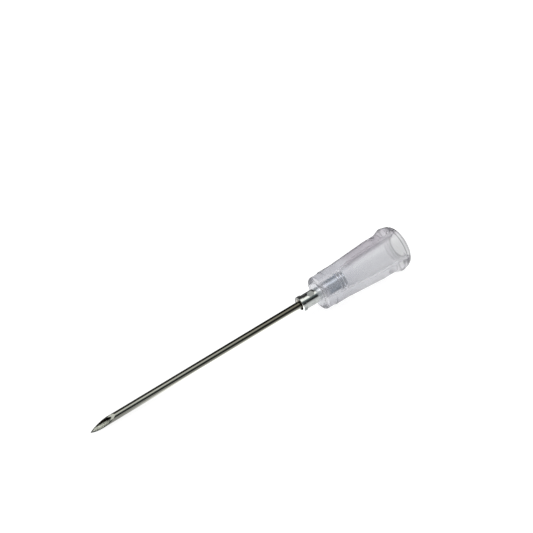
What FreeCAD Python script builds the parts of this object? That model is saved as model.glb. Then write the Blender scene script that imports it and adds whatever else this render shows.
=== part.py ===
# Hypodermic needle, 1.2 x 40 mm: a steel cannula in an aluminium ferrule in a clear Luer-lock hub.
#
# Every piece is built along the needle's own axis, X, with x = 0 at the sharp point and the hub's
# mouth at the far end. The pieces are then laid down together, the way the needle rests on a table:
# on the small flat under the hub's flange, which keeps it from rolling, and on the low side of the
# cannula just behind the point.
# Lengths are in millimetres, angles in degrees.

import FreeCAD, Part
import Sketcher

import os

SIZES = [
    ("cannula_outer", 1.27),
    ("cannula_bore", 0.92),
    ("cannula_exposed", 40.0),
    ("bevel_angle", 14.4),
    ("bevel_overrun", 0.45),
    ("bevel_roll", 10.0),
    ("lancet_angle", 17.0),
    ("lancet_turn", 27.0),
    ("ferrule_outer", 2.4),
    ("ferrule_exposed", 3.66),
    ("ferrule_embedded", 4.85),
    ("rim_outer", 2.66),
    ("rim_length", 0.7),
    ("rim_round", 0.2),
    ("rim_back_round", 0.08),
    ("dish_outer", 1.96),
    ("dish_depth", 0.5),
    ("crimp_middle", 2.2),
    ("crimp_length", 1.2),
    ("crimp_slope", 0.3),
    ("crimp_depth", 0.12),
    ("crimp_count", 4),
    ("barb_height", 0.22),
    ("barb_face", 0.2),
    ("barb_ramp", 0.22),
    ("barb_pitch", 0.6),
    ("ferrule_tail", 0.2),
    ("ferrule_gap", 0.04),
    ("hub_length", 16.77),
    ("nose_outer", 5.7),
    ("nose_length", 1.8),
    ("nose_round", 0.3),
    ("recess_outer", 3.5),
    ("recess_depth", 0.7),
    ("waist_outer", 5.92),
    ("waist_end", 4.2),
    ("shank_outer", 6.88),
    ("shank_start", 11.4),
    ("flange_outer", 7.8),
    ("flange_length", 3.17),
    ("flange_ramp", 1.2),
    ("flange_land", 0.2),
    ("flange_round", 0.5),
    ("flange_flats", 7.6),
    ("flat_count", 2),
    ("mouth_outer", 6.9),
    ("mouth_round", 1.25),
    ("socket_mouth", 4.3),
    ("socket_slope", 0.06),
    ("socket_length", 8.0),
    ("socket_lead", 0.15),
    ("cavity_floor_outer", 3.0),
]

doc = FreeCAD.newDocument("needle")
sheet = doc.addObject("Spreadsheet::Sheet", "Sizes")
for row, (alias, number) in enumerate(SIZES, start=1):
    sheet.set("A%d" % row, alias)
    sheet.set("B%d" % row, str(number))
    sheet.setAlias("B%d" % row, alias)
doc.recompute()


def size(alias):
    """The sheet's cell of this name, as it is written in an expression."""
    return "Sizes." + alias


def half(alias):
    """Half a sheet size: a radius, from a diameter."""
    return "(Sizes.%s / 2)" % alias


def total(*terms):
    """The sum of several expressions."""
    return "(" + " + ".join(terms) + ")"


def less(first, second):
    """One expression less another."""
    return "(%s - %s)" % (first, second)


def measure(expression):
    """An expression's number, in the sheet's own units."""
    return float(sheet.evalExpression(expression))


# Stations along the axis, measured from the point
FERRULE_FRONT = size("cannula_exposed")
NOSE = total(FERRULE_FRONT, size("ferrule_exposed"))
FERRULE_REAR = total(NOSE, size("ferrule_embedded"))
RECESS_FLOOR = total(NOSE, size("recess_depth"))
MOUTH = total(NOSE, size("hub_length"))
FLANGE_START = less(MOUTH, size("flange_length"))
LAND_START = total(FLANGE_START, size("flange_ramp"))
LAND_END = total(LAND_START, size("flange_land"))
RAMP_RISE = less(half("flange_outer"), half("shank_outer"))
FLAT_RISE = less(half("flange_flats"), half("shank_outer"))
FLAT_START = total(FLANGE_START, "Sizes.flange_ramp * %s / %s" % (FLAT_RISE, RAMP_RISE))
MOUTH_TAPER = "atan(%s / %s)" % (less(half("flange_outer"), half("mouth_outer")), less(MOUTH, LAND_END))
SOCKET_END = less(MOUTH, size("socket_length"))
LEAD_START = less(MOUTH, size("socket_lead"))

# Radii that more than one piece or section uses
FERRULE_RADIUS = half("ferrule_outer")
BARB_RADIUS = total(FERRULE_RADIUS, size("barb_height"))
HOLE_RADIUS = total(FERRULE_RADIUS, size("ferrule_gap"))
GROOVE_RADIUS = total(BARB_RADIUS, size("ferrule_gap"))
SOCKET_END_RADIUS = less(half("socket_mouth"), "Sizes.socket_slope * Sizes.socket_length / 2")
LEAD_RADIUS = total(half("socket_mouth"), size("socket_lead"))

# The steep faces of the two barbs, which keep the ferrule from being pulled out of the hub
BARB_LENGTH = total(size("barb_face"), size("barb_ramp"))
REAR_BARB = less(FERRULE_REAR, total(size("ferrule_tail"), BARB_LENGTH))
FRONT_BARB = less(REAR_BARB, size("barb_pitch"))


def origin_plane(body, role):
    """The body's own origin plane or axis with this role."""
    return next(item for item in body.Origin.OriginFeatures if item.Role == role)


def new_sketch(body, name, role):
    """An empty sketch on one of the body's own origin planes."""
    sketch = body.newObject("Sketcher::SketchObject", name)
    sketch.AttachmentSupport = (origin_plane(body, role), [""])
    sketch.MapMode = "FlatFace"
    return sketch


def bind(sketch, kind, line, label, expression):
    """Holds one coordinate of a line's start at an expression; a zero lies on the axis instead."""
    if expression == "0":
        sketch.addConstraint(Sketcher.Constraint("PointOnObject", line, 1, -1))
        return
    place = Sketcher.Constraint(kind, -1, 1, line, 1, measure(expression))
    index = sketch.addConstraint(place)
    sketch.renameConstraint(index, label)
    sketch.setExpression("Constraints." + label, expression)


def outline(body, name, corners):
    """A closed section in the XZ plane, from (corner name, station, radius) in order."""
    sketch = new_sketch(body, name, "XZ_Plane")
    points = []
    for _, station, radius in corners:
        points.append(FreeCAD.Vector(measure(station), measure(radius), 0))
    count = len(points)
    for here in range(count):
        line = Part.LineSegment(points[here], points[(here + 1) % count])
        sketch.addGeometry(line, False)
    for here in range(count):
        sketch.addConstraint(Sketcher.Constraint("Coincident", here, 2, (here + 1) % count, 1))
    for here, (corner, station, radius) in enumerate(corners):
        bind(sketch, "DistanceX", here, corner + "_station", station)
        bind(sketch, "DistanceY", here, corner + "_radius", radius)
    doc.recompute()
    return sketch


def spin(body, kind, name, sketch):
    """Turns a section about the needle's axis: a Revolution adds it, a Groove cuts it."""
    before = body.Shape.Volume if kind == "PartDesign::Groove" else 0.0
    feature = body.newObject(kind, name)
    feature.Profile = sketch
    feature.ReferenceAxis = (sketch, ["H_Axis"])
    feature.Angle = 360.0
    doc.recompute()
    if kind == "PartDesign::Groove" and feature.Shape.Volume >= before:
        raise RuntimeError(name + " cut nothing")
    return feature


def cut_through(body, name, sketch):
    """Cuts a section right through the body, to both sides of its plane."""
    before = body.Shape.Volume
    feature = body.newObject("PartDesign::Pocket", name)
    feature.Profile = sketch
    feature.Type = "ThroughAll"
    feature.Midplane = True
    doc.recompute()
    if feature.Shape.Volume >= before:
        raise RuntimeError(name + " cut nothing")
    return feature


def round_rims(body, name, radius, rims):
    """Rounds the circular edges that lie at the given (station, radius) pairs."""
    base = body.Tip
    wanted = [(measure(station), measure(rim)) for station, rim in rims]
    edges = []
    for number, edge in enumerate(base.Shape.Edges, start=1):
        curve = edge.Curve
        if not isinstance(curve, Part.Circle):
            continue
        for station, rim in wanted:
            if abs(curve.Center.x - station) < 1e-4 and abs(curve.Radius - rim) < 1e-4:
                edges.append("Edge%d" % number)
    if len(edges) < len(rims):
        raise RuntimeError(name + " did not find its edges")
    feature = body.newObject("PartDesign::Fillet", name)
    feature.Base = (base, edges)
    feature.setExpression("Radius", radius)
    doc.recompute()
    return feature


def repeat_round(body, name, feature, count):
    """Repeats a cut evenly round the needle's axis."""
    before = body.Shape.Volume
    ring = body.newObject("PartDesign::PolarPattern", name)
    ring.Originals = [feature]
    ring.Axis = (origin_plane(body, "X_Axis"), [""])
    ring.Angle = 360.0
    ring.setExpression("Occurrences", count)
    body.Tip = ring
    doc.recompute()
    if ring.Shape.Volume >= before:
        raise RuntimeError(name + " cut nothing")
    return ring


def new_body(name):
    """A body whose label is its node's name."""
    body = doc.addObject("PartDesign::Body", name)
    body.Label = name
    doc.recompute()
    return body


def point_cut(body, name, angle, turn, start):
    """One ground facet of the point: a plane at an angle to the axis, turned about it.

    The plane starts on the low side of the tube, at the station start. Its section is a triangle
    in a plane that holds the axis, and everything above the facet is cut away."""
    sketch = new_sketch(body, name + "_section", "XZ_Plane")
    reach = "(2 * Sizes.cannula_outer)"
    rise = "(%s / tan(%s * 1 deg))" % (reach, angle)
    low = half("cannula_outer")
    corners = [
        ("heel", total(start, rise), less(reach, low)),
        ("front", "-" + reach, less(reach, low)),
        ("toe", "-" + reach, "(-%s - (%s + %s) * tan(%s * 1 deg))" % (low, reach, start, angle)),
    ]
    points = [FreeCAD.Vector(measure(x), measure(y), 0) for _, x, y in corners]
    for here in range(3):
        sketch.addGeometry(Part.LineSegment(points[here], points[(here + 1) % 3]), False)
    for here in range(3):
        sketch.addConstraint(Sketcher.Constraint("Coincident", here, 2, (here + 1) % 3, 1))
    for here, (corner, x, y) in enumerate(corners):
        bind(sketch, "DistanceX", here, corner + "_station", x)
        bind(sketch, "DistanceY", here, corner + "_height", y)
    sketch.AttachmentOffset = FreeCAD.Placement(
        FreeCAD.Vector(0, 0, 0), FreeCAD.Rotation(FreeCAD.Vector(1, 0, 0), 1.0))
    sketch.setExpression("AttachmentOffset.Rotation.Angle", turn)
    doc.recompute()
    return cut_through(body, name, sketch)


def make_cannula():
    """The steel tube, from the sharp point to the ferrule's rear face.

    The point has a long primary bevel and two lancet facets, each turned to one side of it, which
    meet in a short ridge at the very tip. The bevel is rolled a little from straight up."""
    body = new_body("cannula")
    sketch = new_sketch(body, "tube_section", "YZ_Plane")
    centre = FreeCAD.Vector(0, 0, 0)
    along = FreeCAD.Vector(0, 0, 1)
    for index, alias in enumerate(("cannula_outer", "cannula_bore")):
        radius = measure(half(alias))
        sketch.addGeometry(Part.Circle(centre, along, radius), False)
        sketch.addConstraint(Sketcher.Constraint("Coincident", index, 3, -1, 1))
        label = alias + "_radius"
        place = sketch.addConstraint(Sketcher.Constraint("Radius", index, radius))
        sketch.renameConstraint(place, label)
        sketch.setExpression("Constraints." + label, half(alias))
    doc.recompute()
    tube = body.newObject("PartDesign::Pad", "tube")
    tube.Profile = sketch
    tube.setExpression("Length", FERRULE_REAR)
    doc.recompute()
    roll = size("bevel_roll")
    turn = size("lancet_turn")
    overrun = "(-%s)" % size("bevel_overrun")
    point_cut(body, "primary_bevel", size("bevel_angle"), roll, overrun)

    # Both lancet planes pass through the bevel's own low side at x = 0, which is the sharp point
    rise = "(1 - cos(%s * 1 deg))" % turn
    slope = "tan(%s * 1 deg)" % size("lancet_angle")
    start = "(-%s * %s / %s)" % (half("cannula_outer"), rise, slope)
    point_cut(body, "near_lancet", size("lancet_angle"), "(%s + %s)" % (roll, turn), start)
    point_cut(body, "far_lancet", size("lancet_angle"), "(%s - %s)" % (roll, turn), start)
    return body


def barb_corners(name, start, base, crest):
    """The corners of one barb: a steep front face, a short crest and a ramp to the rear."""
    crest_end = total(start, size("barb_face"))
    return [
        (name + "_foot", start, base),
        (name + "_lip", start, crest),
        (name + "_crest", crest_end, crest),
        (name + "_heel", total(start, BARB_LENGTH), base),
    ]


def make_ferrule():
    """The turned aluminium sleeve that is crimped on the cannula and held in the hub by barbs."""
    body = new_body("ferrule")
    bore = half("cannula_outer")
    rim_end = total(FERRULE_FRONT, size("rim_length"))
    dish_end = total(FERRULE_FRONT, size("dish_depth"))
    corners = [
        ("dish_edge", FERRULE_FRONT, half("dish_outer")),
        ("rim_front", FERRULE_FRONT, half("rim_outer")),
        ("rim_back", rim_end, half("rim_outer")),
        ("barrel_front", rim_end, FERRULE_RADIUS),
    ]
    corners += barb_corners("front_barb", FRONT_BARB, FERRULE_RADIUS, BARB_RADIUS)
    corners += barb_corners("rear_barb", REAR_BARB, FERRULE_RADIUS, BARB_RADIUS)
    corners += [
        ("tail_edge", FERRULE_REAR, FERRULE_RADIUS),
        ("tail_bore", FERRULE_REAR, bore),
        ("dish_floor", dish_end, bore),
    ]
    spin(body, "PartDesign::Revolution", "turned_sleeve", outline(body, "sleeve_section", corners))
    round_rims(body, "rim_rounding", size("rim_round"), [(FERRULE_FRONT, half("rim_outer"))])
    round_rims(body, "rim_easing", size("rim_back_round"), [(rim_end, half("rim_outer"))])

    # Crimp marks: shallow dents round the barrel, where the sleeve is squeezed on the cannula
    middle = total(FERRULE_FRONT, size("crimp_middle"))
    front = less(middle, half("crimp_length"))
    back = total(middle, half("crimp_length"))
    floor = less(FERRULE_RADIUS, size("crimp_depth"))
    clear = total(FERRULE_RADIUS, size("crimp_depth"))
    flare = "(2 * Sizes.crimp_slope)"
    dent = outline(body, "crimp_section", [
        ("front_floor", total(front, size("crimp_slope")), floor),
        ("back_floor", less(back, size("crimp_slope")), floor),
        ("back_clear", less(total(back, flare), size("crimp_slope")), clear),
        ("front_clear", total(less(front, flare), size("crimp_slope")), clear),
    ])
    repeat_round(body, "crimp_ring", cut_through(body, "crimp_dent", dent), size("crimp_count"))
    return body


def make_hub():
    """The clear moulded hub: nose, tapered body, locking flange, and the Luer socket inside."""
    body = new_body("hub")
    nose_end = total(NOSE, size("nose_length"))
    waist_end = total(NOSE, size("waist_end"))
    shank_start = total(NOSE, size("shank_start"))
    blank = outline(body, "blank_section", [
        ("nose_axis", NOSE, "0"),
        ("nose_edge", NOSE, half("nose_outer")),
        ("nose_back", nose_end, half("nose_outer")),
        ("waist_front", nose_end, half("waist_outer")),
        ("waist_back", waist_end, half("waist_outer")),
        ("shank_front", shank_start, half("shank_outer")),
        ("flange_foot", FLANGE_START, half("shank_outer")),
        ("land_front", LAND_START, half("flange_outer")),
        ("land_back", LAND_END, half("flange_outer")),
        ("mouth_edge", MOUTH, half("mouth_outer")),
        ("mouth_axis", MOUTH, "0"),
    ])
    spin(body, "PartDesign::Revolution", "blank", blank)

    # The Luer socket: a lead-in, the standard taper, and a steeper cone down to the cavity's floor
    socket = outline(body, "socket_section", [
        ("floor_axis", FERRULE_REAR, "0"),
        ("floor_edge", FERRULE_REAR, half("cavity_floor_outer")),
        ("taper_end", SOCKET_END, SOCKET_END_RADIUS),
        ("taper_mouth", LEAD_START, half("socket_mouth")),
        ("lead_edge", MOUTH, LEAD_RADIUS),
        ("socket_axis", MOUTH, "0"),
    ])
    spin(body, "PartDesign::Groove", "luer_socket", socket)

    # The ferrule's seat: an open ring round the sleeve in the nose, then a close hole whose two
    # grooves have their front walls on the barbs' steep faces
    corners = [
        ("recess_axis", NOSE, "0"),
        ("recess_edge", NOSE, half("recess_outer")),
        ("recess_floor", RECESS_FLOOR, half("recess_outer")),
        ("hole_front", RECESS_FLOOR, HOLE_RADIUS),
    ]
    corners += barb_corners("front_groove", FRONT_BARB, HOLE_RADIUS, GROOVE_RADIUS)
    corners += barb_corners("rear_groove", REAR_BARB, HOLE_RADIUS, GROOVE_RADIUS)
    corners += [
        ("hole_back", FERRULE_REAR, HOLE_RADIUS),
        ("seat_axis", FERRULE_REAR, "0"),
    ]
    spin(body, "PartDesign::Groove", "ferrule_seat", outline(body, "seat_section", corners))

    round_rims(body, "nose_rounding", size("nose_round"), [(NOSE, half("nose_outer"))])
    crest = [(LAND_START, half("flange_outer")), (LAND_END, half("flange_outer"))]
    # The crest's two roundings share its land, which limits them where the slopes get steep
    room = "0.95 * Sizes.flange_land / (tan(atan(%s / Sizes.flange_ramp) / 2) + tan(%s / 2))" % (
        RAMP_RISE, MOUTH_TAPER)
    round_rims(body, "flange_rounding", "min(Sizes.flange_round; %s)" % room, crest)
    round_rims(body, "mouth_rounding", size("mouth_round"), [(MOUTH, half("mouth_outer"))])

    # Small flats that keep the needle from rolling: a block is cut off the flange above and below
    flat = half("flange_flats")
    outside = total(half("flange_outer"), size("flange_round"))
    block = outline(body, "flat_section", [
        ("front_low", FLANGE_START, flat),
        ("back_low", MOUTH, flat),
        ("back_high", MOUTH, outside),
        ("front_high", FLANGE_START, outside),
    ])
    repeat_round(body, "flange_flats", cut_through(body, "flange_flat", block), size("flat_count"))
    return body


def lay_down(body):
    """Puts a piece where it lies: the flange's lower flat and the cannula's low side both at z = 0.

    The flat's front end is lowest, because the needle's axis falls towards the point. The low side
    of the tube starts behind the point, because a lancet facet crosses it. The mouth's rounded lip
    and the point are the two ends of the whole length, whose middle comes to x = 0."""
    tube = half("cannula_outer")
    roll = "Sizes.bevel_roll * 1 deg"
    turn = "Sizes.lancet_turn * 1 deg"
    crossing = "(sin(%s) * sin(%s) + cos(%s) * (1 - cos(%s)))" % (turn, roll, turn, roll)
    lead = "(%s * %s / tan(Sizes.lancet_angle * 1 deg))" % (tube, crossing)
    drop = less(half("flange_flats"), tube)
    tilt = "atan(%s / %s)" % (drop, less(FLAT_START, lead))
    lip = less(half("mouth_outer"), "Sizes.mouth_round * tan(45 deg - %s / 2)" % MOUTH_TAPER)
    far_end = total(
        "%s * cos(%s)" % (less(MOUTH, size("mouth_round")), tilt),
        "%s * sin(%s)" % (lip, tilt),
        size("mouth_round"))
    near_end = "%s * cos(%s) * sin(%s)" % (tube, roll, tilt)
    body.Placement = FreeCAD.Placement(
        FreeCAD.Vector(0, 0, 0), FreeCAD.Rotation(FreeCAD.Vector(0, 1, 0), 1.0))
    body.setExpression("Placement.Rotation.Angle", "-" + tilt)
    body.setExpression("Placement.Base.x", "-%s / 2" % total(near_end, far_end))
    body.setExpression("Placement.Base.z", "%s * cos(%s) - %s * sin(%s)" % (tube, tilt, lead, tilt))


bodies = [make_cannula(), make_ferrule(), make_hub()]
for body in bodies:
    lay_down(body)
doc.recompute()

for item in doc.Objects:
    if "Invalid" in item.State or "Error" in item.State:
        raise RuntimeError("failed: " + item.Name)

os.makedirs("parts", exist_ok=True)
for body in bodies:
    shape = body.Shape
    if shape.isNull() or not shape.isValid() or len(shape.Solids) != 1:
        raise RuntimeError("not one sound solid: " + body.Label)
    shape.exportStep("parts/%s.step" % body.Label)
    box = shape.BoundBox
    print("%-8s %8.2f mm3  x %.3f %.3f  y %.3f %.3f  z %.3f %.3f" % (
        body.Label, shape.Volume, box.XMin, box.XMax, box.YMin, box.YMax, box.ZMin, box.ZMax))
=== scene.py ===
import math

import bpy
from mathutils import Matrix, Vector


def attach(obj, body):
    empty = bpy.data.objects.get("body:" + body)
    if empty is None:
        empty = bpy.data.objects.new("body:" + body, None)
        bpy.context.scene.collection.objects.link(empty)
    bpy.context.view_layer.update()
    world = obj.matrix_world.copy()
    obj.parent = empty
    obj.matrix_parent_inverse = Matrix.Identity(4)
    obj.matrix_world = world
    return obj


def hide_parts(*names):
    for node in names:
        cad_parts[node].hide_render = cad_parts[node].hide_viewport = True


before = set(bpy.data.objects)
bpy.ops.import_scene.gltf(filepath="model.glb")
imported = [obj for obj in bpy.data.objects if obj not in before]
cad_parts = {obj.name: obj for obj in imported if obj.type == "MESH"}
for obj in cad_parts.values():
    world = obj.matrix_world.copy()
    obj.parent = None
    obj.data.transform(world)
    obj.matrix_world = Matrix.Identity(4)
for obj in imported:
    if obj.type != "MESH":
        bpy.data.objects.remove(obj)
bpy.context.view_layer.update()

# Hypodermic needle: steel cannula, aluminium ferrule and clear moulded Luer-lock hub.
# Lengths are in millimetres, and stations run along the needle's own axis from its sharp point.

MM = 0.001

# Stations
FERRULE_FRONT = 40.0
RIM_END = FERRULE_FRONT + 0.7
CRIMP = FERRULE_FRONT + 2.2
FERRULE_REAR = 48.51
REAR_BARB = FERRULE_REAR - 0.62
FRONT_BARB = REAR_BARB - 0.6
NOSE = 43.66
RECESS_END = NOSE + 0.7
NOSE_END = NOSE + 1.8
WAIST_START = NOSE + 1.81
WAIST_END = NOSE + 4.2
SHANK_START = NOSE + 11.4
MOUTH = 60.43
FLANGE_START = MOUTH - 3.17
CREST_START = FLANGE_START + 1.2
CREST_END = FLANGE_START + 1.4
SOCKET_BOTTOM = MOUTH - 8.0

# Radii
BORE_RADIUS = 0.46
TUBE_RADIUS = 0.635
DISH_RADIUS = 0.98
RIM_RADIUS = 1.33
BARREL_RADIUS = 1.2
BARB_RADIUS = 1.42
RECESS_RADIUS = 1.75
NOSE_RADIUS = 2.85
WAIST_RADIUS = 2.96
SHANK_RADIUS = 3.44
FLANGE_RADIUS = 3.9
LIP_RADIUS = 3.45
SOCKET_RADIUS = 2.15
SOCKET_BOTTOM_RADIUS = 1.91
CONE_END_RADIUS = 1.5
SOCKET_CHAMFER = 0.15

# A barb has a steep front, a land and a slope down to its foot, both measured from the front
BARB_LAND = 0.2
BARB_FOOT = 0.42

# Air between the ferrule and its seat in the hub
AIR = 0.04

# Half the width over the two flats of the flange
FLANGE_FLAT = 3.8

# The ground point: the long bevel faces up and a little to the near side, a lancet facet each way.
# The tube starts as a longer blank.
BLANK_START = -0.7
BEVEL_ANGLE = 14.4
BEVEL_START = -0.45
BEVEL_ROLL = 10.0
LANCET_ANGLE = 17.0
LANCET_TURN = 27.0

# A crimp dent is pressed by a punch with a square end (half widths), wider at its top and drawn out
# round the barrel
DENT_END = 0.3
DENT_TOP = 0.9
DENT_DEPTH = 0.24
DENT_STRETCH = 6.0

# How finely the round shapes are drawn. A rounded corner gets more steps for a wider turn and for
# a larger rounding.
METAL_SIDES = 160
HUB_SIDES = 256
LEAST_STEPS = 3
STEPS_A_RADIAN = 6
MORE_STEPS_A_MM = 8
MERGE_DISTANCE = 0.001
CUT_TOLERANCE = 0.0001

# How the needle lies in the shared frame: its axis rises a little from the point to the mouth
LIE = math.radians(3.1230825)
LIE_START = Vector((-30.255591, 0.0, 0.623604)) * MM
FROM_AXIS = Matrix.Translation(LIE_START) @ Matrix.Rotation(-LIE, 4, "Y")


class Val:
    """A socket's value, with the plain operators as Math nodes."""

    def __init__(self, shader, socket):
        self.shader = shader
        self.socket = socket

    def __add__(self, other): return self.shader.maths("ADD", self, other)
    def __radd__(self, other): return self.shader.maths("ADD", other, self)
    def __sub__(self, other): return self.shader.maths("SUBTRACT", self, other)
    def __rsub__(self, other): return self.shader.maths("SUBTRACT", other, self)
    def __mul__(self, other): return self.shader.maths("MULTIPLY", self, other)
    def __rmul__(self, other): return self.shader.maths("MULTIPLY", other, self)
    def __truediv__(self, other): return self.shader.maths("DIVIDE", self, other)
    def __rtruediv__(self, other): return self.shader.maths("DIVIDE", other, self)
    def __neg__(self): return self.shader.maths("MULTIPLY", self, -1.0)

    def root(self): return self.shader.maths("SQRT", self)
    def clamped(self): return self.shader.maths("ADD", self, 0.0, clamp=True)

    def between(self, low, high):
        """0 below low, 1 above high, smooth in between."""
        return self.shader.node("ShaderNodeMapRange", {"interpolation_type": "SMOOTHSTEP"},
                                {"Value": self, "From Min": low, "From Max": high})

    def band(self, start, full, fade, end):
        """1 from full to fade, 0 before start and after end, smooth in between."""
        return self.between(start, full) * (1.0 - self.between(fade, end))


class Shader:
    """The node tree of a material or of the world, emptied first."""

    def __init__(self, owner):
        self.owner = owner
        owner.use_nodes = True
        self.tree = owner.node_tree
        self.tree.nodes.clear()

    def node(self, kind, settings=None, values=None, out=0):
        """A node with its settings made first, then its sockets' values or links. It gives the
        output that out names, or a list of outputs for a tuple of names."""
        made = self.tree.nodes.new(kind)
        for setting, value in (settings or {}).items():
            if setting == "stops":
                set_stops(made.color_ramp.elements, value)
            else:
                setattr(made, setting, value)
        for socket, value in (values or {}).items():
            if isinstance(value, Val):
                self.tree.links.new(value.socket, made.inputs[socket])
            else:
                made.inputs[socket].default_value = value
        if isinstance(out, tuple):
            return [Val(self, made.outputs[name]) for name in out]
        return Val(self, made.outputs[out])

    def maths(self, operation, *values, clamp=False):
        return self.node("ShaderNodeMath", {"operation": operation, "use_clamp": clamp},
                         dict(enumerate(values)))

    def split(self, vector):
        return self.node("ShaderNodeSeparateXYZ", None, {0: vector}, out=(0, 1, 2))

    def blend(self, mask, low, high):
        """A colour that runs from low to high with the mask."""
        low, high = (c if isinstance(c, Val) else (*c, 1.0) for c in (low, high))
        return self.node("ShaderNodeMix", {"data_type": "RGBA"},
                         {"Factor": mask, 6: low, 7: high}, out=2)

    def along(self):
        """The needle's own coordinates in millimetres as a vector and one by one, then the
        distance from the axis and the angle round it, from the near side over the top."""
        where = self.node("ShaderNodeTexCoord", out="Object")
        turned = self.node("ShaderNodeVectorMath", {"operation": "SUBTRACT"},
                           {0: where, 1: tuple(LIE_START)})
        level = self.node("ShaderNodeVectorRotate", {"rotation_type": "Y_AXIS"},
                          {"Vector": turned, "Angle": LIE})
        axis = self.node("ShaderNodeVectorMath", {"operation": "SCALE"},
                         {0: level, "Scale": 1.0 / MM})
        x, y, z = self.split(axis)
        radius = (y * y + z * z).root()
        side = self.maths("ARCTAN2", z, -y)
        return axis, x, y, z, radius, side

    def grain(self, axis, along, across, scale, detail=3.0, rough=0.5):
        """Noise in the needle's own coordinates, which are first scaled along and across."""
        scaled = self.node("ShaderNodeVectorMath", {"operation": "MULTIPLY"},
                           {0: axis, 1: (along, across, across)})
        return self.node("ShaderNodeTexNoise", {"normalize": True},
                         {"Vector": scaled, "Scale": scale, "Detail": detail, "Roughness": rough})

    def bump(self, height, strength, distance):
        return self.node("ShaderNodeBump", None,
                         {"Height": height, "Strength": strength, "Distance": distance})

    def rays(self):
        """Masks for the camera's rays, for those that come through the moulding, for both, and
        for those that are only mirrored."""
        camera, through, mirrored = self.node("ShaderNodeLightPath", out=(
            "Is Camera Ray", "Is Transmission Ray", "Is Glossy Ray"))
        seen = self.maths("MAXIMUM", camera, through)
        return camera, through, seen, (mirrored * (1.0 - seen)).clamped()

    def background(self, colour, strength=1.0):
        return self.node("ShaderNodeBackground", None, {"Color": colour, "Strength": strength})

    def mixed(self, mask, low, high):
        """A shader that runs from low to high with the mask."""
        return self.node("ShaderNodeMixShader", None, {0: mask, 1: low, 2: high})

    def finished(self, kind, **shaders):
        """The material or the world, once its shaders go to an output node."""
        self.node(kind, None, shaders, out=())
        return self.owner


def set_stops(elements, stops):
    """Gives a ramp its stops, each one a position and a colour."""
    while len(elements) > 1:
        elements.remove(elements[-1])
    elements[0].position = stops[0][0]
    elements[0].color = (*stops[0][1], 1.0)
    for position, colour in stops[1:]:
        elements.new(position).color = (*colour, 1.0)


def grey(level):
    return level, level, level, 1.0


STEEL_DARK = (0.36, 0.36, 0.33)
STEEL_LIGHT = (0.44, 0.44, 0.40)
# Painted darker reflection on the tube's upper side, growing towards the hub
STEEL_PAINTED_UPPER_SHADE = (0.15, 0.135, 0.105)
STEEL_GROUND = (0.50, 0.51, 0.47)
# Painted highlight on the point's tip and on the bore's wall where the point is ground
STEEL_EDGE_HIGHLIGHT = (0.86, 0.87, 0.80)
# Painted shade deep in the bore, darkest on its far wall
BORE_PAINTED_SHADE = (0.16, 0.14, 0.13)
BORE_FAR_WALL_SHADE = (0.03, 0.022, 0.02)


def steel():
    """Drawn stainless tube: fine lengthwise grain, ground facets at the point, and painted light: a
    darker reflection on the upper side towards the hub, a highlight on the point's edges, shade in
    the bore.
    """
    look = Shader(bpy.data.materials.new("drawn_steel"))
    axis, x, y, _, radius, side = look.along()
    grain = look.grain(axis, 0.35, 9.0, scale=3.0, detail=4.0, rough=0.6)
    cloud = look.grain(axis, 0.25, 1.2, scale=1.0, detail=2.0)
    scratch = look.grain(axis, 26.0, 5.0, scale=2.0)
    ground = 1.0 - x.between(4.2, 4.6)
    skin = radius.between(TUBE_RADIUS - 0.02, TUBE_RADIUS - 0.008)
    facet = (ground * (1.0 - skin)).clamped()
    bored = 1.0 - radius.between(BORE_RADIUS + 0.01, BORE_RADIUS + 0.03)
    # Where the darker reflection is painted: the upper side, from near the point to the hub
    painted_upper_shade = x.between(4.0, 46.0) * side.between(0.2, 0.7)
    # Painted highlight: the bore's ground rim and the point's tip
    edge_highlight = (bored + 1.0 - x.between(2.4, 3.2)).clamped() * facet
    # Painted shade inside the bore, beyond the point and on its far wall
    deep_shade = bored * x.between(3.0, 6.0)
    far_wall_shade = bored * y.between(0.27, 0.36)
    tone = look.blend(grain, STEEL_DARK, STEEL_LIGHT)
    tone = look.blend(painted_upper_shade, tone, STEEL_PAINTED_UPPER_SHADE)
    tone = look.blend(facet, tone, STEEL_GROUND)
    tone = look.blend(edge_highlight, tone, STEEL_EDGE_HIGHLIGHT)
    tone = look.blend(deep_shade, tone, BORE_PAINTED_SHADE)
    tone = look.blend(far_wall_shade, tone, BORE_FAR_WALL_SHADE)
    height = grain * (1.0 - facet) + scratch * facet * (0.5 - bored * 0.4)
    metal = look.node("ShaderNodeBsdfPrincipled", None, {
        "Base Color": tone,
        "Metallic": 1.0,
        "Roughness": 0.11 + cloud * 0.06 + grain * 0.04 + facet * 0.18 + bored * 0.35,
        "Normal": look.bump(height, 0.12, 0.01 * MM),
    })
    return look.finished("ShaderNodeOutputMaterial", Surface=metal)


ALUMINIUM_DARK = (0.68, 0.70, 0.69)
ALUMINIUM_LIGHT = (0.78, 0.80, 0.79)
# Painted bluish shade on the near and far sides and painted light on top, where the hub holds it
HELD_NEAR_SHADE = (0.33, 0.41, 0.48)
HELD_UPPER_LIGHT = (0.76, 0.82, 0.86)
HELD_FAR_SHADE = (0.34, 0.43, 0.50)
# Painted white highlight on the ferrule where it enters the nose
ALUMINIUM_NOSE_HIGHLIGHT = (1.0, 1.0, 1.0)
# Painted highlights on the two barb crests inside the hub
BARB_CREST_HIGHLIGHT = (0.97, 0.98, 1.0)
# Painted shade in the dish round the tube, and a painted darker reflection on the rim's near, low
# side
DISH_SHADE = (0.16, 0.15, 0.14)
RIM_SHADE = (0.34, 0.36, 0.36)


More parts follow.
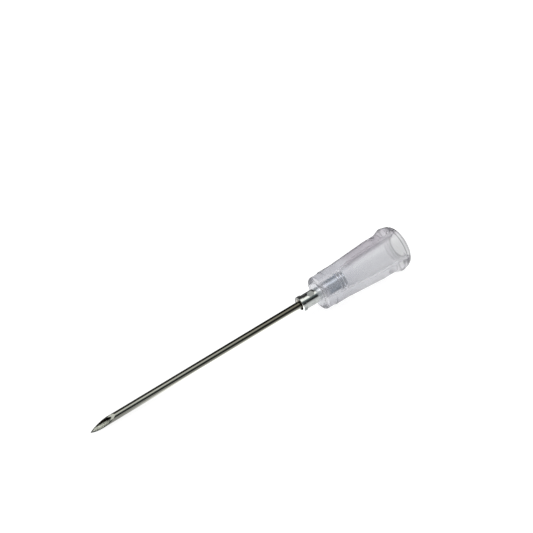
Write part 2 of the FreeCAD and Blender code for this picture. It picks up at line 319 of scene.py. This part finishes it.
def aluminium():
    """Bright turned aluminium: fine rings round the axis and duller in the crimp marks. Painted
    light and
    shade on it: bluish shade with a lighter top where the hub holds it, highlights inside the nose
    and on the barb crests, and shade in the dish and on the rim's low side."""
    look = Shader(bpy.data.materials.new("turned_aluminium"))
    axis, x, _, _, radius, side = look.along()
    rings = look.grain(axis, 14.0, 0.6, scale=2.0, detail=4.0, rough=0.6)
    cloud = look.grain(axis, 1.0, 1.0, scale=1.6, detail=2.0)
    dish = 1.0 - radius.between(0.9, 1.1)
    dish = dish * (1.0 - x.between(FERRULE_FRONT + 0.6, FERRULE_FRONT + 0.9))
    rim_low = (1.0 - x.between(RIM_END, RIM_END + 0.05)) * (1.0 - side.between(0.0, 0.5))
    # Painted highlight where the ferrule enters the nose, up to the held part
    nose_highlight = x.between(NOSE, NOSE + 0.2)
    held = x.between(NOSE + 1.2, NOSE + 1.7)
    crimped = 1.0 - radius.between(BARREL_RADIUS - 0.04, BARREL_RADIUS - 0.01)
    crimped = crimped * x.band(CRIMP - 1.0, CRIMP - 0.8, CRIMP + 0.8, CRIMP + 1.0)
    # The held part's painted light and shade: darker and bluish at the sides, lighter on top
    held_painted_light = look.blend(side.between(0.25, 0.8), HELD_NEAR_SHADE, HELD_UPPER_LIGHT)
    held_painted_light = look.blend(side.between(1.5, 1.8), held_painted_light, HELD_FAR_SHADE)
    tone = look.blend(rings, ALUMINIUM_DARK, ALUMINIUM_LIGHT)
    tone = look.blend(held, tone, held_painted_light)
    tone = look.blend(nose_highlight * (1.0 - held), tone, ALUMINIUM_NOSE_HIGHLIGHT)
    # A painted highlight on each barb's crest
    for front in (FRONT_BARB, REAR_BARB):
        land_end = front + BARB_LAND
        crest_highlight = x.band(front - 0.06, front, land_end + 0.02, land_end + 0.1)
        tone = look.blend(crest_highlight, tone, BARB_CREST_HIGHLIGHT)
    # Painted shade in the dish and painted darker reflection on the rim's low side
    tone = look.blend(dish, tone, DISH_SHADE)
    tone = look.blend(rim_low * (1.0 - dish), tone, RIM_SHADE)
    metal = look.node("ShaderNodeBsdfPrincipled", None, {
        "Base Color": tone,
        "Metallic": 1.0,
        "Roughness": 0.10 + cloud * 0.08 + rings * 0.06 + crimped * 0.4,
        "Normal": look.bump(rings, 0.15, 0.01 * MM),
    })
    return look.finished("ShaderNodeOutputMaterial", Surface=metal)


CLEAR_AT_NOSE = (0.92, 0.93, 0.955)
CLEAR_AT_MOUTH = (0.98, 0.98, 0.985)
FLOW_MARK = (0.88, 0.88, 0.92)
# Painted shade on the shank's upper, far wall
UPPER_WALL_SHADE = (0.48, 0.445, 0.49)
# Painted bluish shade on the top of the ferrule's seat
SEAT_TOP_SHADE = (0.36, 0.44, 0.54)
# Painted dark rings of shade round the lip, between the stations below
PAINTED_LIP_SHADE = (0.28, 0.28, 0.29)
PAINTED_LIP_RINGS = ((59.1, 59.4), (59.75, 60.0))
ABSORBED = (0.03, 0.0, 0.10, 1.0)

# Less than the plastic's own index, which gives dark rings at the nose and the lip
MOULDING_IOR = 1.2

# The directions across the needle, as shares of up and of the near side, in which the near wall
# begins and in which it faces the camera: the masks of its painted light and shade
NEAR_WALL = (0.77, 0.64)
FACING = (0.745, 0.667)

# The near wall's painted light and shade, where it turns away and where it faces the camera: over
# the nose, the waist, the shank and the flange
PAINTED_WALL_TURNED = ((0.90, 0.905, 0.93), (0.52, 0.525, 0.56), (0.76, 0.765, 0.78), (0.93, 0.93, 0.94))
PAINTED_WALL_FACING = ((0.97, 0.975, 0.985), (0.76, 0.765, 0.79), (0.84, 0.845, 0.855), (0.70, 0.705, 0.71))


def clear_moulding():
    """Clear polypropylene with a faint lavender cast and slight flow marks. Its near and upper
    walls, its seat and its lip carry painted shade and painted light, set for the camera's own
    view."""
    look = Shader(bpy.data.materials.new("clear_polypropylene"))
    axis, x, y, z, radius, side = look.along()
    flow = look.grain(axis, 0.5, 1.5, scale=1.2)
    fine = look.grain(axis, 1.0, 1.0, scale=9.0)
    toward_mouth = x.between(45.0, 62.0)
    nose_face = 1.0 - x.between(NOSE + 0.14, NOSE + 0.34)
    shank = x.between(47.0, 52.0)
    flange = x.between(56.8, 57.8)
    lip = radius.between(2.5, 2.6)
    # Masks for the near wall's painted shade and light
    painted_near_wall = (z * NEAR_WALL[0] - y * NEAR_WALL[1]).between(-0.6, 1.2)
    facing = ((z * FACING[0] - y * FACING[1]) / radius).between(0.6, 0.9)
    # Painted shade on the upper, far wall of the shank
    upper_wall_shade = side.between(1.5, 1.9) * x.between(48.5, 51.0) * (1.0 - flange * 0.35)
    # Painted bluish shade on the seat's top, in front of the barbs
    seat_top_shade = (1.0 - radius.between(1.5, 1.6)) * side.between(1.6, 1.8)
    seat_top_shade = seat_top_shade * x.band(45.6, 46.0, 47.3, 47.6)
    painted_walls = []
    for on_nose, on_waist, on_shank, on_flange in (PAINTED_WALL_TURNED, PAINTED_WALL_FACING):
        painted_wall = look.blend(shank, on_waist, on_shank)
        painted_wall = look.blend(nose_face, painted_wall, on_nose)
        painted_walls.append(look.blend(flange, painted_wall, on_flange))
    tint = look.blend(toward_mouth, CLEAR_AT_NOSE, CLEAR_AT_MOUTH)
    tint = look.blend(flow * 0.5, tint, FLOW_MARK)
    tint = look.blend(painted_near_wall, tint, look.blend(facing, *painted_walls))
    tint = look.blend(upper_wall_shade, tint, UPPER_WALL_SHADE)
    tint = look.blend(seat_top_shade, tint, SEAT_TOP_SHADE)
    # Painted dark rings of shade on the lip
    for start, end in PAINTED_LIP_RINGS:
        tint = look.blend(x.band(start, start + 0.1, end - 0.1, end) * lip, tint, PAINTED_LIP_SHADE)
    plastic = look.node("ShaderNodeBsdfPrincipled", None, {
        "Base Color": tint,
        "Metallic": 0.0,
        "Roughness": 0.18 + flow * 0.08,
        "IOR": MOULDING_IOR,
        "Transmission Weight": 0.84,
        "Coat Weight": 0.4,
        "Coat Roughness": 0.12,
        "Normal": look.bump(fine, 0.02, 0.02 * MM),
    })
    depth = look.node("ShaderNodeVolumeAbsorption", None, {"Color": ABSORBED, "Density": 40.0})
    return look.finished("ShaderNodeOutputMaterial", Surface=plastic, Volume=depth)


def only(obj):
    """Nothing else selected, and this object active."""
    if bpy.context.object is not None and bpy.context.object.mode != "OBJECT":
        bpy.ops.object.mode_set(mode="OBJECT")
    bpy.ops.object.select_all(action="DESELECT")
    if obj is not None:
        obj.select_set(True)
        bpy.context.view_layer.objects.active = obj


def lathe(name, profile, sides):
    """A closed ring of revolution: a circle is drawn out and resized from corner to corner of the
    profile, given as (station, radius), until it meets its own start."""
    only(None)
    here, wide = profile[0]
    bpy.ops.mesh.primitive_circle_add(vertices=sides, radius=wide * MM,
                                      location=(here * MM, 0.0, 0.0),
                                      rotation=(0.0, math.pi / 2, 0.0))
    ring = bpy.context.object
    ring.name = name
    ring.data.name = name
    bpy.ops.object.transform_apply(location=True, rotation=True, scale=True)
    bpy.ops.object.mode_set(mode="EDIT")
    bpy.ops.mesh.select_all(action="SELECT")
    for station, radius in profile[1:] + profile[:1]:
        bpy.ops.mesh.extrude_edges_move(
            TRANSFORM_OT_translate={"value": ((station - here) * MM, 0.0, 0.0)})
        grow = radius / wide
        bpy.ops.transform.resize(value=(1.0, grow, grow), center_override=(station * MM, 0.0, 0.0))
        here, wide = station, radius
    bpy.ops.mesh.select_all(action="SELECT")
    bpy.ops.mesh.remove_doubles(threshold=MERGE_DISTANCE * MM)
    bpy.ops.mesh.normals_make_consistent(inside=False)
    bpy.ops.object.mode_set(mode="OBJECT")
    return ring


def rounded(corners):
    """A profile whose corners (station, radius, rounding) are turned into arcs."""
    made = []
    for i, (station, radius, rounding) in enumerate(corners):
        if not rounding:
            made.append((station, radius))
            continue
        here = Vector((station, radius))
        before = (Vector(corners[i - 1][:2]) - here).normalized()
        after = (Vector(corners[(i + 1) % len(corners)][:2]) - here).normalized()
        half = before.angle(after) / 2
        reach = rounding / math.tan(half)
        middle = here + (before + after).normalized() * (rounding / math.sin(half))
        first = here + before * reach - middle
        last = here + after * reach - middle
        sweep = first.angle_signed(last)
        steps_a_radian = STEPS_A_RADIAN + MORE_STEPS_A_MM * rounding
        steps = max(LEAST_STEPS, int(abs(sweep) * steps_a_radian))
        for k in range(steps + 1):
            turned = Matrix.Rotation(-sweep * k / steps, 2) @ first
            made.append(tuple(middle + turned))
    return made


def barb(station, gap=0.0):
    """The corners of one barb from its steep front to its foot, or of its groove in the hub, which
    keeps a gap round it."""
    front = station - gap / 2
    return [
        (front, BARREL_RADIUS + gap, 0.0),
        (front, BARB_RADIUS + gap, 0.0),
        (station + BARB_LAND, BARB_RADIUS + gap, 0.0),
        (station + BARB_FOOT, BARREL_RADIUS + gap, 0.0),
    ]


def trimmed(obj, cuts):
    """Cuts a piece off at each plane, given as (point, normal), and closes the cut faces."""
    only(obj)
    bpy.ops.object.mode_set(mode="EDIT")
    for point, normal in cuts:
        bpy.ops.mesh.select_all(action="SELECT")
        bpy.ops.mesh.bisect(plane_co=point, plane_no=normal, use_fill=True,
                            clear_outer=True, threshold=CUT_TOLERANCE * MM)
    bpy.ops.mesh.select_all(action="SELECT")
    bpy.ops.mesh.normals_make_consistent(inside=False)
    bpy.ops.object.mode_set(mode="OBJECT")


def ground_facet(angle, turn, start):
    """The plane of one facet of the point, which starts on the tube's low side at a station."""
    angle, turn = math.radians(angle), math.radians(turn)
    outward = Vector((0.0, -math.sin(turn), math.cos(turn)))
    point = Vector((start, 0.0, 0.0)) - outward * TUBE_RADIUS
    normal = outward * math.cos(angle) - Vector((math.sin(angle), 0.0, 0.0))
    return point * MM, normal


def crimp_dent(obj, turn):
    """Presses one dent into the ferrule's barrel, turned round the axis by an angle."""
    only(None)
    corner = math.sqrt(2.0) * MM
    bpy.ops.mesh.primitive_cone_add(
        vertices=4, radius1=DENT_END * corner, radius2=DENT_TOP * corner, depth=DENT_DEPTH * MM,
        location=(CRIMP * MM, 0.0, BARREL_RADIUS * MM), rotation=(0.0, 0.0, math.pi / 4))
    punch = bpy.context.object
    bpy.ops.object.transform_apply(location=True, rotation=True, scale=True)
    punch.scale = (1.0, DENT_STRETCH, 1.0)
    punch.rotation_euler = (turn, 0.0, 0.0)
    bpy.ops.object.transform_apply(location=True, rotation=True, scale=True)
    dent = obj.modifiers.new("crimp", "BOOLEAN")
    dent.operation = "DIFFERENCE"
    dent.solver = "EXACT"
    dent.object = punch
    only(obj)
    bpy.ops.object.modifier_apply(modifier=dent.name)
    bpy.data.objects.remove(punch)


def finish_piece(obj, material, node, smooth):
    """Puts a piece modelled along the X axis where the needle lies, and gives it its material,
    smooth edges up to an angle, the root body as its parent, and hides the CAD node that it stands
    for."""
    only(obj)
    bpy.ops.object.shade_smooth_by_angle(angle=math.radians(smooth))
    obj.data.transform(FROM_AXIS)
    obj.data.update()
    obj.data.materials.clear()
    obj.data.materials.append(material)
    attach(obj, "root")
    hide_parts(node)


# The cannula: a closed tube, ground to its point by three planes
cannula = lathe("cannula_tube", [
    (BLANK_START, BORE_RADIUS),
    (BLANK_START, TUBE_RADIUS),
    (FERRULE_REAR, TUBE_RADIUS),
    (FERRULE_REAR, BORE_RADIUS),
], METAL_SIDES)
side_step = 1.0 - math.cos(math.radians(LANCET_TURN))
lancet_start = -TUBE_RADIUS * side_step / math.tan(math.radians(LANCET_ANGLE))
trimmed(cannula, [
    ground_facet(BEVEL_ANGLE, BEVEL_ROLL, BEVEL_START),
    ground_facet(LANCET_ANGLE, BEVEL_ROLL + LANCET_TURN, lancet_start),
    ground_facet(LANCET_ANGLE, BEVEL_ROLL - LANCET_TURN, lancet_start),
])
finish_piece(cannula, steel(), "cannula", smooth=9.0)

# The hub: nose, waist, shank, flange and lip outside, then the socket, the ferrule's seat with its
# two grooves and the recess in the nose
seat = BARREL_RADIUS + AIR
hub = lathe("hub_moulding", rounded([
    (NOSE, RECESS_RADIUS, 0.12),
    (NOSE, NOSE_RADIUS, 0.3),
    (NOSE_END, NOSE_RADIUS, 0.05),
    (WAIST_START, WAIST_RADIUS, 0.05),
    (WAIST_END, WAIST_RADIUS, 1.5),
    (SHANK_START, SHANK_RADIUS, 1.5),
    (FLANGE_START, SHANK_RADIUS, 2.0),
    (CREST_START, FLANGE_RADIUS, 0.5),
    (CREST_END, FLANGE_RADIUS, 0.5),
    (MOUTH, LIP_RADIUS, 1.25),
    (MOUTH, SOCKET_RADIUS + SOCKET_CHAMFER, 0.05),
    (MOUTH - SOCKET_CHAMFER, SOCKET_RADIUS, 0.05),
    (SOCKET_BOTTOM, SOCKET_BOTTOM_RADIUS, 0.3),
    (FERRULE_REAR, CONE_END_RADIUS, 0.1),
    (FERRULE_REAR, seat, 0.0),
    *reversed(barb(REAR_BARB, AIR)),
    *reversed(barb(FRONT_BARB, AIR)),
    (RECESS_END, seat, 0.0),
    (RECESS_END, RECESS_RADIUS, 0.05),
]), HUB_SIDES)
trimmed(hub, [(Vector((0.0, 0.0, up * FLANGE_FLAT * MM)), (0.0, 0.0, up)) for up in (1.0, -1.0)])
finish_piece(hub, clear_moulding(), "hub", smooth=11.0)

# The ferrule: a crisp rim round its dish, a barrel with four crimp dents, and two barbs
ferrule = lathe("ferrule_sleeve", rounded([
    (FERRULE_FRONT, DISH_RADIUS, 0.03),
    (FERRULE_FRONT, RIM_RADIUS, 0.07),
    (RIM_END, RIM_RADIUS, 0.07),
    (RIM_END, BARREL_RADIUS, 0.0),
    *barb(FRONT_BARB),
    *barb(REAR_BARB),
    (FERRULE_REAR, BARREL_RADIUS, 0.0),
    (FERRULE_REAR, TUBE_RADIUS, 0.0),
    (FERRULE_FRONT + 0.5, TUBE_RADIUS, 0.0),
]), METAL_SIDES)
for quarter in range(4):
    crimp_dent(ferrule, quarter * math.pi / 2)
finish_piece(ferrule, aluminium(), "ferrule", smooth=14.0)

# The table: its own greys, and the strips that only mirrored rays see on it. In front of the
# needle they change from far to near and at the hub, with a bright one close to the tube. Behind
# the needle they fall from grey to dark.
TABLE_SIZE = 6000.0
TABLE_PALE = grey(0.86)
TABLE_DIM = grey(0.30)
TABLE_GLOW = 0.85
FAR_STRIP = (0.42, 0.42, 0.41)
NEAR_STRIP = (0.60, 0.60, 0.59)
HUB_STRIP = (0.74, 0.75, 0.74)
BRIGHT_STRIP = (2.9, 2.9, 2.85)
BEHIND_NEAR = (0.5, 0.5, 0.49)
BEHIND_FAR = (0.03, 0.03, 0.03)


def white_table():
    """White for the camera with the needle's shadow kept, and strips for reflections."""
    look = Shader(bpy.data.materials.new("white_table"))
    _, _, seen, only_mirrored = look.rays()
    along, across, _ = look.split(look.node("ShaderNodeTexCoord", out="Object"))
    before_hub = 1.0 - along.between(9.5 * MM, 11.5 * MM)
    close = across.between(-6.0 * MM, -0.6 * MM) * along.between(-26.0 * MM, -8.0 * MM)
    close = (close + along.between(-8.0 * MM, 8.0 * MM) * 0.25).clamped() * before_hub
    front = look.blend(across.between(-16.0 * MM, -5.0 * MM), FAR_STRIP, NEAR_STRIP)
    front = look.blend(along.between(9.0 * MM, 11.0 * MM), front, HUB_STRIP)
    front = look.blend(close, front, BRIGHT_STRIP)
    behind = look.blend(across.between(3.0 * MM, 7.0 * MM), BEHIND_NEAR, BEHIND_FAR)
    strips = look.blend(across.between(0.8 * MM, 1.8 * MM), front, behind)
    pale = look.node("ShaderNodeBsdfDiffuse", None, {"Color": TABLE_PALE})
    dim = look.node("ShaderNodeBsdfDiffuse", None, {"Color": TABLE_DIM})
    glow = look.node("ShaderNodeEmission", None, {"Color": grey(1.0), "Strength": TABLE_GLOW})
    shadowed = look.node("ShaderNodeAddShader", None, {0: dim, 1: glow})
    reflected = look.node("ShaderNodeBsdfPrincipled", None, {
        "Base Color": grey(0.0),
        "Roughness": 1.0,
        "Specular IOR Level": 0.0,
        "Emission Color": strips,
        "Emission Strength": 1.0,
    })
    surface = look.mixed(only_mirrored, look.mixed(seen, pale, shadowed), reflected)
    return look.finished("ShaderNodeOutputMaterial", Surface=surface)


only(None)
bpy.ops.mesh.primitive_plane_add(size=TABLE_SIZE * MM, location=(0.0, 0.0, 0.0))
table = bpy.context.object
table.name = "table_top"
table.data.materials.append(white_table())

# The studio round the needle: even light, white behind, and for reflections a soft box overhead
# between dark screens. Angles run from the front horizon (0) over the top (90) to the back (180).
SCREENS = [
    (0.0, (0.62, 0.63, 0.62)),
    (14.0, (0.54, 0.55, 0.54)),
    (26.0, (0.015, 0.015, 0.015)),
    (50.0, (0.015, 0.015, 0.015)),
    (56.0, (0.10, 0.13, 0.13)),
    (70.0, (0.13, 0.16, 0.16)),
    (81.0, (1.25, 1.26, 1.20)),
    (108.0, (1.25, 1.26, 1.20)),
    (118.0, (0.30, 0.30, 0.28)),
    (130.0, (0.02, 0.02, 0.02)),
    (172.0, (0.03, 0.03, 0.03)),
    (180.0, (0.6, 0.6, 0.6)),
]
SEEN_THROUGH = (0.75, 0.77, 0.80)
SEEN_THROUGH_SHARE = 0.75
EVEN_LIGHT = 0.62


def studio():
    """White for the camera, the screens for reflections and, softened, for what is seen through
    the moulding, and even light for the rest."""
    look = Shader(bpy.data.worlds.new("studio"))
    camera, through, _, only_mirrored = look.rays()
    _, back, up = look.split(look.node("ShaderNodeTexCoord", out="Generated"))
    half_turn = look.maths("ARCTAN2", up, -back) * (1.0 / math.pi)
    stops = [(degrees / 180.0, colour) for degrees, colour in SCREENS]
    screens = look.node("ShaderNodeValToRGB", {"stops": stops}, {0: half_turn.clamped()})
    softened = look.blend(SEEN_THROUGH_SHARE, screens, SEEN_THROUGH)
    lit = look.background(grey(1.0), EVEN_LIGHT)
    white = look.background(grey(1.0))
    plain = look.mixed(camera, lit, white)
    inner = look.mixed(through, plain, look.background(softened))
    surface = look.mixed(only_mirrored, inner, look.background(screens))
    return look.finished("ShaderNodeOutputWorld", Surface=surface)


def soft_light(name, direction, distance, width, height, power):
    """A rectangular soft box, facing the needle from a direction (azimuth, elevation)."""
    data = bpy.data.lights.new(name, "AREA")
    data.shape = "RECTANGLE"
    data.size = width * MM
    data.size_y = height * MM
    data.energy = power
    lamp = bpy.data.objects.new(name, data)
    bpy.context.scene.collection.objects.link(lamp)
    azimuth, elevation = (math.radians(a) for a in direction)
    back = Vector((math.sin(azimuth) * math.cos(elevation),
                   -math.cos(azimuth) * math.cos(elevation), math.sin(elevation)))
    lamp.location = back * distance * MM
    lamp.rotation_mode = "QUATERNION"
    lamp.rotation_quaternion = (-back).to_track_quat("-Z", "Y")
    return lamp


bpy.context.scene.world = studio()
top_light = soft_light("top_softbox", direction=(180.0, 75.0), distance=600.0, width=900.0,
                       height=450.0, power=2.0)
top_light.visible_glossy = False

# The camera, from the fit to the photograph: its directions, place and focal length
FORWARD = Vector((0.3937176, 0.53814393, -0.74524329))
UPWARD = Vector((0.44003994, 0.60145857, 0.66679265))
SIDEWARD = Vector((0.80706338, -0.59046482, 0.0))
CAMERA_PLACE = Vector((-117.35237, -164.64862, 244.34345)) * MM
FOCAL_PIXELS = 1992.0
PHOTO_PIXELS = 533.0
SENSOR_WIDTH = 36.0

camera_data = bpy.data.cameras.new("camera")
camera_data.sensor_fit = "HORIZONTAL"
camera_data.sensor_width = SENSOR_WIDTH
camera_data.lens = FOCAL_PIXELS / PHOTO_PIXELS * SENSOR_WIDTH
camera_data.clip_start = 10.0 * MM
camera_data.clip_end = 100000.0 * MM
camera = bpy.data.objects.new("camera", camera_data)
bpy.context.scene.collection.objects.link(camera)
turn = Matrix((SIDEWARD, UPWARD, -FORWARD)).transposed().to_4x4()
camera.matrix_world = Matrix.Translation(CAMERA_PLACE) @ turn
bpy.context.scene.camera = camera

bpy.context.scene.view_settings.view_transform = "Standard"

bpy.context.view_layer.update()
